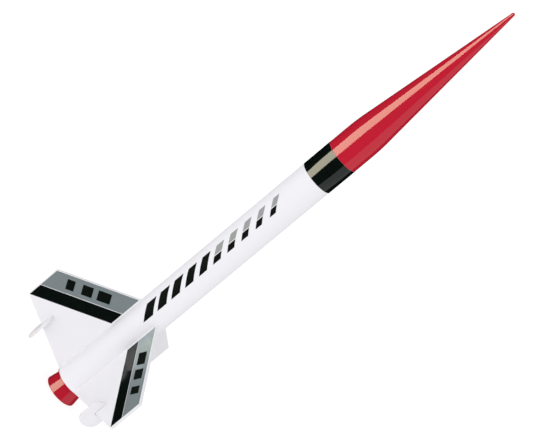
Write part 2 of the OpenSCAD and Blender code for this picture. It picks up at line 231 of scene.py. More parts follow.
def turning_tree():
    """Turns an outline, drawn as edges in the X-Z plane, round the Z axis."""
    tree, given = shape_tree("Turned Piece", Segments="Int", Guide_Radius="Float")
    back = add(tree, MATH, {0: 0.0, 1: given.outputs["Guide Radius"]}, operation="SUBTRACT")
    shift = add(tree, "ShaderNodeCombineXYZ", {"X": back.outputs[0]})
    laid = add(tree, "GeometryNodeTransform", {
        "Geometry": given.outputs["Geometry"],
        "Translation": shift.outputs[0],
        "Rotation": (math.pi / 2, 0, 0),
    })
    outline = add(tree, "GeometryNodeMeshToCurve", {"Mesh": laid.outputs[0]})
    guide = add(tree, "GeometryNodeCurvePrimitiveCircle", {
        "Resolution": given.outputs["Segments"],
        "Radius": given.outputs["Guide Radius"],
    })
    turned = add(tree, "GeometryNodeCurveToMesh",
                 {"Curve": guide.outputs[0], "Profile Curve": outline.outputs[0]})
    closed = add(tree, "GeometryNodeMergeByDistance",
                 {"Geometry": turned.outputs[0], "Distance": 0.002 * MM})
    return close_tree(tree, given, closed.outputs[0])


def bars_tree():
    """A flat row of slanted bars along X, each narrower than the last, between two heights in Y."""
    tree, given = shape_tree(
        "Row of Bars", Count="Int", First="Int", Pitch="Float", Width="Float",
        Narrowing="Float", Low="Float", High="Float", Lean="Float", Cuts="Int")
    value = given.outputs
    places = add(tree, "GeometryNodeMeshLine", {"Count": value["Count"], "Offset": (0, 0, 0)})
    order = add(tree, "GeometryNodeInputIndex")
    kept = add(tree, "GeometryNodeStoreNamedAttribute", {
        "Geometry": places.outputs[0], "Name": "order", "Value": order.outputs[0],
    }, data_type="INT")
    cell = add(tree, "GeometryNodeMeshGrid", {
        "Size X": 1.0, "Size Y": 1.0, "Vertices X": 3, "Vertices Y": value["Cuts"]})
    cells = add(tree, "GeometryNodeInstanceOnPoints",
                {"Points": kept.outputs[0], "Instance": cell.outputs[0]})
    real = add(tree, "GeometryNodeRealizeInstances", {"Geometry": cells.outputs[0]})
    read = add(tree, "GeometryNodeInputNamedAttribute", {"Name": "order"}, data_type="INT")
    number = add(tree, MATH, {0: read.outputs[0], 1: value["First"]})
    position = add(tree, "GeometryNodeInputPosition").outputs[0]
    place = add(tree, "ShaderNodeSeparateXYZ", {0: position})
    along = add(tree, MATH, {0: place.outputs["X"], 1: 0.5})
    height = add(tree, "ShaderNodeMapRange", {
        "Value": place.outputs["Y"], "From Min": -0.5, "From Max": 0.5,
        "To Min": value["Low"], "To Max": value["High"],
    })
    start = add(tree, MATH, {0: number.outputs[0], 1: value["Pitch"]}, operation="MULTIPLY")
    less = add(tree, MATH, {0: number.outputs[0], 1: value["Narrowing"]}, operation="MULTIPLY")
    width = add(tree, MATH, {0: value["Width"], 1: less.outputs[0]}, operation="SUBTRACT")
    inside = add(tree, MATH, {
        0: along.outputs[0], 1: width.outputs[0], 2: start.outputs[0]}, operation="MULTIPLY_ADD")
    slanted = add(tree, MATH, {
        0: height.outputs[0], 1: value["Lean"], 2: inside.outputs[0]}, operation="MULTIPLY_ADD")
    moved = add(tree, "ShaderNodeCombineXYZ", {"X": slanted.outputs[0], "Y": height.outputs[0]})
    laid = add(tree, "GeometryNodeSetPosition",
               {"Geometry": real.outputs[0], "Position": moved.outputs[0]})
    return close_tree(tree, given, laid.outputs[0])


def roll_tree():
    """A thin film rolled up round Z: a crinkled spiral whose outer turns draw in at the ends."""
    tree, given = shape_tree(
        "Rolled Film", Inner_Radius="Float", Outer_Radius="Float", Length="Float",
        Edge="Float", Turns="Float", Steps="Int", Rows="Int", Crinkle="Float")
    value = given.outputs
    sheet = add(tree, "GeometryNodeMeshGrid", {
        "Size X": 1.0, "Size Y": 1.0, "Vertices X": value["Steps"], "Vertices Y": value["Rows"]})
    position = add(tree, "GeometryNodeInputPosition").outputs[0]
    place = add(tree, "ShaderNodeSeparateXYZ", {0: position})
    share = add(tree, MATH, {0: place.outputs["X"], 1: 0.5})
    turned = add(tree, MATH, {0: share.outputs[0], 1: value["Turns"]}, operation="MULTIPLY")
    angle = add(tree, MATH, {0: turned.outputs[0], 1: 2 * math.pi}, operation="MULTIPLY")
    smooth = add(tree, "ShaderNodeMapRange", {
        "Value": share.outputs[0], "To Min": value["Inner Radius"],
        "To Max": value["Outer Radius"],
    })
    where = add(tree, "ShaderNodeCombineXYZ", {"X": turned.outputs[0], "Y": place.outputs["Y"]})
    creases = add(tree, "ShaderNodeTexNoise", {
        "Vector": where.outputs[0], "Scale": 5.0, "Detail": 1.0})
    fold = add(tree, MATH, {0: creases.outputs[0], 1: value["Crinkle"]}, operation="MULTIPLY")
    radius = add(tree, MATH, {0: smooth.outputs[0], 1: fold.outputs[0]}, operation="SUBTRACT")
    east = add(tree, MATH, {0: angle.outputs[0]}, operation="COSINE")
    north = add(tree, MATH, {0: angle.outputs[0]}, operation="SINE")
    x = add(tree, MATH, {0: east.outputs[0], 1: radius.outputs[0]}, operation="MULTIPLY")
    y = add(tree, MATH, {0: north.outputs[0], 1: radius.outputs[0]}, operation="MULTIPLY")
    rim = add(tree, MATH, {0: value["Outer Radius"], 1: value["Edge"]}, operation="SUBTRACT")
    past = add(tree, MATH, {0: radius.outputs[0], 1: rim.outputs[0]}, operation="SUBTRACT")
    drawn = add(tree, MATH, {0: past.outputs[0], 1: 0.0}, operation="MAXIMUM")
    both = add(tree, MATH, {0: drawn.outputs[0], 1: fold.outputs[0]})
    half = add(tree, MATH, {0: value["Length"], 1: 0.5}, operation="MULTIPLY")
    reach = add(tree, MATH, {0: half.outputs[0], 1: both.outputs[0]}, operation="SUBTRACT")
    side = add(tree, MATH, {0: place.outputs["Y"], 1: 2.0}, operation="MULTIPLY")
    z = add(tree, MATH, {0: side.outputs[0], 1: reach.outputs[0]}, operation="MULTIPLY")
    moved = add(tree, "ShaderNodeCombineXYZ", {
        "X": x.outputs[0], "Y": y.outputs[0], "Z": z.outputs[0]})
    rolled = add(tree, "GeometryNodeSetPosition",
                 {"Geometry": sheet.outputs[0], "Position": moved.outputs[0]})
    return close_tree(tree, given, rolled.outputs[0])


# ---------- Shapes ----------


def new_object(name, points, edges=(), faces=()):
    """An object made of plain points, edges and faces."""
    mesh = bpy.data.meshes.new(name)
    mesh.from_pydata([tuple(p) for p in points], list(edges), list(faces))
    obj = bpy.data.objects.new(name, mesh)
    bpy.context.scene.collection.objects.link(obj)
    return obj


def bake(obj):
    """Turns an object and its modifiers into one plain mesh."""
    graph = bpy.context.evaluated_depsgraph_get()
    mesh = bpy.data.meshes.new_from_object(obj.evaluated_get(graph))
    obj.modifiers.clear()
    obj.data = mesh
    return obj


def point_out(obj):
    """Points every face of a closed shell outwards."""
    work = bmesh.new()
    work.from_mesh(obj.data)
    bmesh.ops.recalc_face_normals(work, faces=work.faces)
    work.to_mesh(obj.data)
    work.free()
    return obj


def run_tree(obj, tree, **values):
    """Gives an object the shape that a tree makes from the named values."""
    modifier = obj.modifiers.new(tree.name, "NODES")
    modifier.node_group = tree
    sockets = {item.name: item.identifier for item in tree.interface.items_tree
               if item.in_out == "INPUT"}
    for name, value in values.items():
        modifier[sockets[name.replace("_", " ")]] = value
    return bake(obj)


def soften(corners, steps=6):
    """Points of an outline of corners (x, z, radius), each one rounded to its radius."""
    points = []
    for k, (x, z, radius) in enumerate(corners):
        here = Vector((x, z))
        if radius == 0:
            points.append(here)
            continue
        back = (Vector(corners[k - 1][:2]) - here).normalized()
        ahead = (Vector(corners[(k + 1) % len(corners)][:2]) - here).normalized()
        half = back.angle(ahead) / 2
        centre = here + (back + ahead).normalized() * radius / math.sin(half)
        spoke = here + back * radius / math.tan(half) - centre
        turn = (math.pi - 2 * half) * (1 if back.cross(ahead) < 0 else -1)
        for step in range(steps + 1):
            points.append(centre + Matrix.Rotation(turn * step / steps, 2) @ spoke)
    return points


def stepped(outline, longest):
    """The same open outline, with points added until no stretch is longer than a length."""
    points = [outline[0]]
    for end in outline[1:]:
        start = Vector(points[-1])
        steps = math.ceil((Vector(end) - start).length / longest)
        points += [start.lerp(Vector(end), (k + 1) / steps) for k in range(steps)]
    return points


def turned(name, outline, material, closed=True):
    """A piece turned round Z from an outline of points (radius, height)."""
    count = len(outline)
    edges = [(k, (k + 1) % count) for k in range(count if closed else count - 1)]
    obj = new_object(name, [(p[0], 0, p[1]) for p in outline], edges)
    sizes = bpy.context.scene.rocket_sizes
    run_tree(obj, TREES["turning"], Segments=sizes.segments, Guide_Radius=TUBE_R, Material=material)
    return point_out(obj)


def ring_corners(inner, outer, low, high, radius=0.0):
    """The four corners of a plain ring's outline."""
    corners = ((inner, low), (outer, low), (outer, high), (inner, high))
    return [(*corner, radius) for corner in corners]


def lofted(count, rows):
    """The faces of a solid made of rows of points, joined up and closed at both ends."""
    last = count * (rows - 1)
    faces = [
        (row + k, row + (k + 1) % count, row + count + (k + 1) % count, row + count + k)
        for row in range(0, last, count) for k in range(count)
    ]
    return faces + [tuple(range(count)), tuple(range(last, last + count))]


def prism(name, outline, thickness, bevel, material):
    """A flat plate in the X-Z plane, with its edges bevelled."""
    count = len(outline)
    points = [(p[0], side * thickness / 2, p[1]) for side in (-1, 1) for p in outline]
    rims = [(k, (k + 1) % count, (k + 1) % count + count, k + count) for k in range(count)]
    faces = [tuple(range(count)), tuple(range(2 * count - 1, count - 1, -1))] + rims
    obj = point_out(new_object(name, points, faces=faces))
    obj.data.materials.append(material)
    if bevel:
        edge = obj.modifiers.new("Edge", "BEVEL")
        edge.width = bevel
        edge.segments = 3
        edge.limit_method = "ANGLE"
        edge.angle_limit = math.radians(50)
    return bake(obj)


def combine(obj, other, operation):
    """Cuts another solid out of an object, or joins it on, and deletes the other."""
    boolean = obj.modifiers.new("Combine", "BOOLEAN")
    boolean.operation = operation
    boolean.solver = "EXACT"
    boolean.object = other
    bake(obj)
    bpy.data.objects.remove(other)
    return obj


def cut_hook_slot(obj, outer, low, high):
    """Cuts the hook's way through a ring, from inside its bore out to a radius."""
    sizes = bpy.context.scene.rocket_sizes
    inner = MOTOR_HIGH.x - sizes.motor_wall * 2
    past = 1 * MM
    corners = ring_corners(inner, outer, low - past, high + past)
    cutter = prism("cutter", [c[:2] for c in corners], sizes.hook_width + 2 * sizes.hook_side, 0,
                   None)
    cutter.data.transform(Matrix.Rotation(HOOK_ANGLE, 4, "Z"))
    return combine(obj, cutter, "DIFFERENCE")


def smooth(obj, degrees=32):
    """Shades an object smooth, except across edges sharper than an angle."""
    obj.data.polygons.foreach_set("use_smooth", [True] * len(obj.data.polygons))
    obj.data.set_sharp_from_angle(angle=math.radians(degrees))
    return obj


def place(obj, body, slot, *nodes):
    """Shades a finished piece and puts it on its body, in the place of CAD nodes."""
    smooth(obj)
    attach(obj, body)
    if nodes:
        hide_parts(*nodes)
    return obj


def write_uv(obj, rule):
    """Gives an object a UV map in millimetres, worked out from each point's place."""
    layer = obj.data.uv_layers.new(name="UVMap")
    points = obj.data.vertices
    for loop in obj.data.loops:
        layer.data[loop.index].uv = [value / MM for value in rule(points[loop.vertex_index].co)]


# ---------- Materials ----------


def blank(name):
    """An empty material and its node tree."""
    material = bpy.data.materials.new(name)
    material.use_nodes = True
    material.node_tree.nodes.clear()
    return material, material.node_tree


def surface(name):
    """An empty material, its node tree and the place on the piece, in metres."""
    material, tree = blank(name)
    return material, tree, add(tree, "ShaderNodeTexCoord").outputs["Object"]


def noise(tree, place_socket, millimetres, detail=2.0, stretch=None):
    """Noise whose blotches have a real size, drawn out where a stretch is given."""
    if stretch:
        place_socket = add(tree, "ShaderNodeMapping", {
            "Vector": place_socket, "Scale": stretch}).outputs[0]
    return add(tree, "ShaderNodeTexNoise", {
        "Vector": place_socket, "Scale": 1 / (millimetres * MM), "Detail": detail}).outputs[0]


def spread(tree, value, low, high, to_low, to_high):
    """Maps a value from one range to another and keeps it inside."""
    return add(tree, "ShaderNodeMapRange", {
        "Value": value, "From Min": low, "From Max": high, "To Min": to_low, "To Max": to_high,
    }).outputs[0]


def tones(tree, factor, first, second):
    """A colour between two others. The first may be another node's colour."""
    start = first if isinstance(first, bpy.types.NodeSocket) else (*first, 1)
    mixed = add(tree, "ShaderNodeMix", {
        "Factor": factor, "A": start, "B": (*second, 1)}, data_type="RGBA")
    return mixed.outputs["Result"]


def shaded(colour_value, share):
    """A colour with each channel multiplied by a share."""
    return tuple(min(1.0, channel * share) for channel in colour_value)


def relief(tree, height, depth, strength=1.0):
    """A bump of a real depth in metres."""
    return add(tree, "ShaderNodeBump",
               {"Height": height, "Distance": depth, "Strength": strength}).outputs[0]


def end_material(material, tree, **inputs):
    """Ends a material in a Principled shader with the given inputs."""
    named = {key.replace("_", " "): value for key, value in inputs.items()}
    shader = add(tree, "ShaderNodeBsdfPrincipled", named)
    add(tree, "ShaderNodeOutputMaterial", {"Surface": shader.outputs[0]})
    return material


def spiral_seam(tree, position, pitch, width):
    """1 on the seam of a spiral-wound paper tube and 0 away from it."""
    parts = add(tree, "ShaderNodeSeparateXYZ", {0: position})
    angle = add(tree, MATH, {0: parts.outputs["Y"], 1: parts.outputs["X"]}, operation="ARCTAN2")
    turn = add(tree, MATH, {0: angle.outputs[0], 1: 2 * math.pi}, operation="DIVIDE")
    climb = add(tree, MATH, {0: parts.outputs["Z"], 1: pitch}, operation="DIVIDE")
    phase = add(tree, MATH, {0: climb.outputs[0], 1: turn.outputs[0]}, operation="SUBTRACT")
    away = add(tree, MATH, {0: phase.outputs[0], 1: 1.0}, operation="PINGPONG")
    return spread(tree, away.outputs[0], 0.0, width / pitch, 1.0, 0.0)


def moulded_styrene(colours, name="moulded_styrene", depth=1.0):
    """Injection-moulded polystyrene. It has a high gloss with clear reflections, a faint ripple
    from the mould and a fine parting line on two sides."""
    # A depth below 1 darkens the red evenly; the tail ring uses this as painted shade.
    red = shaded(colours.red, depth)
    material, tree, position = surface(name)
    cloud = noise(tree, position, 25)
    scuff = noise(tree, position, 8, 1.0)
    ripple = noise(tree, position, 9, 0.0, (1, 1, 0.15))
    parts = add(tree, "ShaderNodeSeparateXYZ", {0: position})
    side = add(tree, MATH, {0: parts.outputs["Y"]}, operation="ABSOLUTE")
    line = spread(tree, side.outputs[0], 0.08 * MM, 0.16 * MM, 0.35, 0.0)
    height = add(tree, MATH, {0: ripple, 1: line})
    return end_material(
        material, tree,
        Base_Color=tones(tree, cloud, red, shaded(red, 0.92)),
        Roughness=spread(tree, scuff, 0.3, 0.8, 0.03, 0.06),
        Normal=relief(tree, height.outputs[0], 0.03 * MM, 0.1),
        IOR=1.59,
        Specular_IOR_Level=0.7,
    )


def tail_styrene_painted_shade(colours):
    """The same moulded polystyrene for the tail ring, a shade deeper: painted shade for the dimmer
    light round the tail.
    """
    return moulded_styrene(colours, "tail_styrene_painted_shade", 0.88)


def sealed_paper(colours):
    """A spiral-wound paper tube, sealed and sprayed white. The paint is smooth and has hardly any
    gloss, with a trace of the spiral seam and of paper fibre."""
    material, tree, position = surface("sealed_paper")
    seam = spiral_seam(tree, position, 78 * MM, 0.5 * MM)
    fibre = noise(tree, position, 0.9, 3.0, (1, 1, 0.4))
    cloud = noise(tree, position, 40)
    height = add(tree, MATH, {0: fibre, 1: seam}, operation="SUBTRACT")
    return end_material(
        material, tree,
        Base_Color=tones(tree, cloud, colours.white, shaded(colours.white, 0.985)),
        Roughness=spread(tree, fibre, 0.3, 0.7, 0.5, 0.6),
        Normal=relief(tree, height.outputs[0], 0.02 * MM, 0.35),
        IOR=1.46,
        Specular_IOR_Level=0.1,
    )


def painted_balsa(colours):
    """Balsa sheet, sanded, filled and sprayed white. Its long grain still shows a little in the
    paint, and runs along the leading edge."""
    material, tree = blank("painted_balsa")
    position = add(tree, "ShaderNodeTexCoord").outputs["UV"]
    # The UV map is in millimetres and the noise takes metres, so 1 mm of wood counts as 1000.
    size = 1 / MM
    grain = noise(tree, position, size, 3.0, (0.03, 1.3, 1))
    broad = noise(tree, position, size, 1.0, (0.02, 0.12, 1))
    return end_material(
        material, tree,
        Base_Color=tones(tree, broad, colours.white, shaded(colours.white, 0.97)),
        Roughness=spread(tree, grain, 0.3, 0.7, 0.48, 0.6),
        Normal=relief(tree, grain, 0.025 * MM, 0.5),
        IOR=1.46,
    )


def balsa_edge(colours):
    """The cut edge of a balsa plate under one thin coat: peach wood shows through the white
    behind the fin and more coats cover it on the fin. The rear end is darkened to grey-brown
    as painted shade."""
    material, tree, position = surface("balsa_edge")
    parts = add(tree, "ShaderNodeSeparateXYZ", {0: position})
    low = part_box("fin_plate_1")[0].z
    # Painted shade: the rear end of the edge, up to 1.8 mm from its lowest point, is darkened to a
    # deep grey-brown.
    end = spread(tree, parts.outputs["Z"], low + 0.6 * MM, low + 1.8 * MM, 1.0, 0.0)
    streak = noise(tree, position, 1.2, 3.0, (1, 1, 0.08))
    coat = spread(tree, streak, 0.3, 0.7, 0.45, 0.85)
    wood = tones(tree, coat, colours.balsa, colours.white)
    on_fin = spread(tree, parts.outputs["Z"], low + 8 * MM, low + 12 * MM, 0.0, 0.9)
    coated = tones(tree, on_fin, wood, colours.white)
    return end_material(
        material, tree,
        Base_Color=tones(tree, end, coated, shaded(colours.balsa, 0.2)),
        Roughness=spread(tree, streak, 0.3, 0.7, 0.65, 0.8),
        Normal=relief(tree, streak, 0.05 * MM, 0.6),
    )


def dried_glue(colours):
    """White wood glue drawn out with a fingertip, dried hard and painted. It is smoother and a
    little glossier than the wood, with soft runs along it."""
    material, tree, position = surface("dried_glue")
    run = noise(tree, position, 2.5, 2.0, (1, 1, 0.15))
    return end_material(
        material, tree,
        Base_Color=tones(tree, run, colours.white, shaded(colours.white, 0.97)),
        Roughness=spread(tree, run, 0.3, 0.7, 0.3, 0.45),
        Normal=relief(tree, run, 0.06 * MM, 0.5),
        IOR=1.46,
    )


def gloss_vinyl(colours, name="gloss_vinyl", gloss=0.85):
    """Cast black vinyl, self-stick, under a clear lacquer. The surface is deep and glossy and
    follows tiny bumps in what lies under it."""
    material, tree, position = surface(name)
    under = noise(tree, position, 5, 1.0)
    mark = noise(tree, position, 0.8, 3.0)
    return end_material(
        material, tree,
        Base_Color=tones(tree, under, colours.black, shaded(colours.black, 1.5)),
        Roughness=spread(tree, mark, 0.3, 0.8, 0.05, 0.12),
        Normal=relief(tree, under, 0.02 * MM, 0.4),
        IOR=1.6,
        Specular_IOR_Level=gloss,
    )


def fin_vinyl(colours):
    """The same black vinyl on the fins, bare, so it mirrors less."""
    return gloss_vinyl(colours, "fin_vinyl", 0.5)


def flat_ink(name, ink):
    """Screen-printed ink on thin transfer film, on the body and the fin panels. It dries flat, with
    hardly any shine and a slightly uneven cover."""
    material, tree, position = surface(name)
    cover = noise(tree, position, 1.2, 3.0)
    return end_material(
        material, tree,
        Base_Color=tones(tree, cover, ink, shaded(ink, 1.15)),
        Roughness=spread(tree, cover, 0.3, 0.7, 0.6, 0.75),
        Normal=relief(tree, cover, 0.01 * MM, 0.3),
        Specular_IOR_Level=0.05,
    )


def black_ink(colours):
    """Flat black ink."""
    return flat_ink("black_ink", colours.black)


def silver_ink(colours):
    """Flat silver ink."""
    return flat_ink("silver_ink", shaded(colours.ink, 0.9))


def silver_vinyl(colours):
    """Silver vinyl with fine metal flake under a clear face, so it is grey with a soft, grainy
    shine."""
    material, tree, position = surface("silver_vinyl")
    # Real flake is about 0.03 mm across. It is drawn ten times coarser, so that it shows.
    flake = add(tree, "ShaderNodeTexVoronoi", {"Vector": position, "Scale": 1 / (0.3 * MM)})
    grain = add(tree, "ShaderNodeSeparateColor", {0: flake.outputs["Color"]}).outputs[0]
    return end_material(
        material, tree,
        Base_Color=tones(tree, grain, shaded(colours.silver, 0.94), shaded(colours.silver, 1.06)),
        Metallic=0.5,
        Roughness=spread(tree, grain, 0.0, 1.0, 0.2, 0.25),
        Coat_Weight=0.3,
        Coat_Roughness=0.1,
    )


def kraft_paper(colours):
    """Brown kraft paper wound into a tube, dull, with darker fibres and the spiral seam."""
    material, tree, position = surface("kraft_paper")
    seam = spiral_seam(tree, position, 56 * MM, 0.35 * MM)
    fibre = noise(tree, position, 0.5, 4.0, (1, 1, 0.3))
    height = add(tree, MATH, {0: fibre, 1: seam}, operation="SUBTRACT")
    return end_material(
        material, tree,
        Base_Color=tones(tree, spread(tree, fibre, 0.35, 0.7, 0.0, 1.0),
                         colours.kraft, shaded(colours.kraft, 0.68)),
        Roughness=spread(tree, fibre, 0.3, 0.7, 0.75, 0.9),
        Normal=relief(tree, height.outputs[0], 0.06 * MM, 0.6),
    )


def fibre_card(colours):
    """Die-cut fibre card, built up in layers whose edges show as fine lines."""
    material, tree, position = surface("fibre_card")
    fibre = noise(tree, position, 0.6, 4.0)
    # The layers are 0.5 mm thick.
    layer = add(tree, "ShaderNodeTexWave", {
        "Vector": position, "Scale": 2 * math.pi / (20 * 0.5 * MM), "Distortion": 1.2,
        "Detail": 1.0}, bands_direction="Z").outputs["Fac"]
    height = add(tree, MATH, {0: fibre, 1: layer})
    return end_material(
        material, tree,
        Base_Color=tones(tree, fibre, colours.card, shaded(colours.card, 0.7)),
        Roughness=spread(tree, fibre, 0.3, 0.7, 0.8, 0.92),
        Normal=relief(tree, height.outputs[0], 0.04 * MM, 0.6),
    )


def spring_steel(colours):
    """Cold-rolled spring steel strip with rolling lines along it."""
    material, tree, position = surface("spring_steel")
    rolled = noise(tree, position, 0.15, 2.0, (1, 1, 0.01))
    return end_material(
        material, tree,
        Base_Color=tones(tree, rolled, colours.steel, shaded(colours.steel, 0.75)),
        Metallic=1.0,
        Roughness=spread(tree, rolled, 0.3, 0.7, 0.25, 0.4),
        Normal=relief(tree, rolled, 0.01 * MM, 0.4),
    )


def parachute_film(colours):
    """Thin polyethylene film, rolled by hand. It is slippery, with sharp little crinkles."""
    material, tree, position = surface("parachute_film")
    crinkle = noise(tree, position, 4, 3.0, (1, 1, 0.3))
    return end_material(
        material, tree,
        Base_Color=tones(tree, crinkle, colours.film, shaded(colours.film, 0.7)),
        Roughness=spread(tree, crinkle, 0.3, 0.7, 0.22, 0.38),
        Normal=relief(tree, crinkle, 0.3 * MM, 0.5),
        IOR=1.51,
    )


def backdrop_paper():
    """Matt seamless backdrop paper, lit until it is nearly white."""
    material, tree, position = surface("backdrop_paper")
    tooth = noise(tree, position, 400)
    return end_material(
        material, tree,
        Base_Color=tones(tree, tooth, linear("#B2B2B2"), linear("#B8B8B8")),
        Roughness=0.9,
        Specular_IOR_Level=0.0,
        Emission_Color=(1, 1, 1, 1),
        Emission_Strength=0.68,
    )


def glow(name, light_colour, radiance):
    """A glowing card that shows only in reflections."""
    material, tree = blank(name)
    lamp = add(tree, "ShaderNodeEmission", {"Color": (*light_colour, 1), "Strength": radiance})
    add(tree, "ShaderNodeOutputMaterial", {"Surface": lamp.outputs[0]})
    return material


FINISHES = {
    "red_plastic": moulded_styrene,
    # The tail ring's red, darkened as painted shade.
    "tail_red_painted_shade": tail_styrene_painted_shade,
    "fin_black": fin_vinyl,
    "black_ink": black_ink,
    "silver_ink": silver_ink,
    "white_paper": sealed_paper,
    "painted_balsa": painted_balsa,
    "balsa_edge": balsa_edge,
    "white_glue": dried_glue,
    "black_decal": gloss_vinyl,
    "silver_decal": silver_vinyl,
    "brown_paper": kraft_paper,
    "card": fibre_card,
    "spring_steel": spring_steel,
    "parachute_film": parachute_film,
}
TREES = {}
MADE = {}


def finish_of(slot):
    """The material of a finish, made when it is first asked for."""
    if slot not in MADE:
        MADE[slot] = FINISHES[slot](bpy.context.scene.rocket_colours)
    return MADE[slot]


# ---------- Operators ----------


class ROCKET_OT_nose(bpy.types.Operator):
    """Makes the moulded nose cone and the plug with the cord loop in its shoulder"""

    bl_idname = "rocket.nose"
    bl_label = "Nose Cone"

    def execute(self, context):
        sizes = context.scene.rocket_sizes
        red = finish_of("red_plastic")
        bore = TUBE_R - sizes.tube_wall
        shoulder = bore - sizes.shoulder_gap
        plug = shoulder - sizes.nose_wall
        tip_z = NOSE_HIGH.z - sizes.nose_tip
        across = sizes.nose_bend - TUBE_R
        along = tip_z - JOINT_Z - sizes.nose_straight
        taper = math.atan2(along, across) - math.acos(
            (sizes.nose_bend - sizes.nose_tip) / math.hypot(across, along))

        def bend(wall):
            """The corner that the long bend rounds, on a wall inset from the outer one."""
            radius = sizes.nose_bend - wall
            height = JOINT_Z + sizes.nose_straight + radius * math.tan(taper / 2)
            return (TUBE_R - wall, height, radius)

        tip = [
            (sizes.nose_tip * math.cos(angle), tip_z + sizes.nose_tip * math.sin(angle), 0)
            for angle in (taper + (math.pi / 2 - taper) * k / 10 for k in range(11))
        ]
        inner = bend(sizes.nose_wall)
        inner_tip = inner[1] + inner[0] / math.tan(taper)
        lead = 0.6 * MM
        edge = 0.12 * MM
        corners = [
            (0, inner_tip, 0),
            inner,
            (TUBE_R - sizes.nose_wall, JOINT_Z + sizes.nose_wall, 0),
            (plug, JOINT_Z + sizes.nose_wall, 0),
            (plug, SHOULDER_LOW.z, 0),
            (shoulder, SHOULDER_LOW.z, lead),
            (shoulder, JOINT_Z, 0),
            (TUBE_R, JOINT_Z, edge),
            bend(0),
        ] + tip
        # Short rings keep the shading of the long taper even.
        outline = stepped(soften(corners, 12), 2.5 * MM)
        cone = turned("nose_cone_shell", outline, red, closed=False)
        place(cone, "nose", "red_plastic", "nose_cone")

        disc_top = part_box("nose_plug")[1].z
        disc_z = disc_top - sizes.plug
        rim = 0.3 * MM
        disc = turned("nose_plug_and_loop", soften(
            [(0, disc_z, 0), (plug, disc_z, rim), (plug, disc_top, rim), (0, disc_top, 0)],
        ), red, closed=False)
        # The loop's arch and its hole have the same number of flats in half a turn.
        flats = 24
        arch = [(math.cos(math.pi * k / flats), -math.sin(math.pi * k / flats))
                for k in range(flats + 1)]
        sunk = sizes.plug / 2
        outer = [(sizes.loop * x, disc_z + sizes.loop * z) for x, z in arch]
        outer += [(-sizes.loop, disc_z + sunk), (sizes.loop, disc_z + sunk)]
        eye = prism("eye", outer, 2 * MM, 0.35 * MM, red)
        hole = prism("hole", [
            (sizes.loop_hole * math.cos(math.pi * k / flats),
             disc_z - sizes.loop_hole / 4 + sizes.loop_hole * math.sin(math.pi * k / flats))
            for k in range(2 * flats)
        ], 6 * MM, 0, None)
        combine(eye, hole, "DIFFERENCE")
        combine(disc, eye, "UNION")
        place(disc, "nose", "red_plastic", "nose_plug")
        return {"FINISHED"}


class ROCKET_OT_body(bpy.types.Operator):
    """Makes the paper body tube, the black wrap round its front end and the launch lug"""

    bl_idname = "rocket.body"
    bl_label = "Body Tube"

    def execute(self, context):
        sizes = context.scene.rocket_sizes
        paper = finish_of("white_paper")
        bore = TUBE_R - sizes.tube_wall
        tube = turned("paper_body_tube", soften(
            ring_corners(bore, TUBE_R, TUBE_LOW.z, TUBE_HIGH.z, 0.12 * MM), 3), paper)
        place(tube, "airframe", "white_paper", "body_tube")

        band_low, band_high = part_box("band_wrap")
        wrap = turned("black_front_wrap", soften(
            ring_corners(TUBE_R, TUBE_R + sizes.skin, band_low.z, band_high.z, 0.04 * MM), 2),
            finish_of("black_decal"))
        place(wrap, "airframe", "black_decal", "band_wrap")

        lug_r = (LUG_HIGH.x - LUG_LOW.x) / 2
        lug_bore = lug_r - 0.25 * MM
        lug = turned("launch_lug_tube", soften(
            ring_corners(lug_bore, lug_r, LUG_LOW.z, LUG_HIGH.z, 0.08 * MM), 3), paper)
        lug.data.transform(Matrix.Translation(
            ((LUG_LOW.x + LUG_HIGH.x) / 2, (LUG_LOW.y + LUG_HIGH.y) / 2, 0)))
        place(lug, "airframe", "white_paper", "launch_lug")
        return {"FINISHED"}


def bars(name, slot, row, rule):
    """A row of bars with no thickness, each vertex moved by a rule to its place."""
    obj = run_tree(new_object(name, [(0, 0, 0)]), TREES["bars"], Material=finish_of(slot), **row)
    for vertex in obj.data.vertices:
        vertex.co = rule(vertex.co.x, vertex.co.y)
    obj.data.update()
    return obj


def thicken(obj, thickness):
    """Gives a skin its thickness, half of it to each side."""
    solid = obj.modifiers.new("Thickness", "SOLIDIFY")
    solid.thickness = thickness
    solid.offset = 0.0
    solid.use_even_offset = True
    return point_out(bake(obj))


class ROCKET_OT_body_bars(bpy.types.Operator):
    """Lays the row of slanted bars along the body: dark ones, and light upper parts in front"""

    bl_idname = "rocket.body_bars"
    bl_label = "Body Bars"

    def execute(self, context):
        sizes = context.scene.rocket_sizes
        low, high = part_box("body_bars_dark")
        count = sizes.body_bars
        lean, first_share, less_share = 1.1, 0.68, 0.03
        last_width = first_share - less_share * (count - 1)
        split = 0.42 * sizes.bar_height
        pitch = (high.z - low.z - lean * split) / (count - 1 + last_width)
        turn = Matrix.Rotation(sizes.bars_angle, 4, "Z")
        radius = TUBE_R + sizes.skin / 2

        def wrapped(along, height):
            """Rolls the flat row round the tube."""
            across = sizes.bar_height / 2 - height
            angle = math.asin(across / TUBE_R)
            return turn @ Vector(
                (radius * math.cos(angle), radius * math.sin(angle), low.z + along))

        row = {"Pitch": pitch, "Width": first_share * pitch, "Narrowing": less_share * pitch,
               "Lean": lean, "Cuts": 13}
        half = count // 2
        rear = bars("bars_rear", "black_ink", {
            **row, "Count": half, "First": 0, "Low": 0.0, "High": sizes.bar_height}, wrapped)
        front = bars("bars_front", "black_ink", {
            **row, "Count": count - half, "First": half, "Low": 0.0, "High": split}, wrapped)
        dark = thicken(join("dark_body_bars", [rear, front]), sizes.skin)
        place(dark, "airframe", "black_decal", "body_bars_dark")
        light = thicken(bars("light_body_bars", "silver_ink", {
            **row, "Count": count - half, "First": half, "Low": split + sizes.white_line,
            "High": sizes.bar_height}, wrapped), sizes.skin)
        place(light, "airframe", "silver_decal", "body_bars_light")
        return {"FINISHED"}


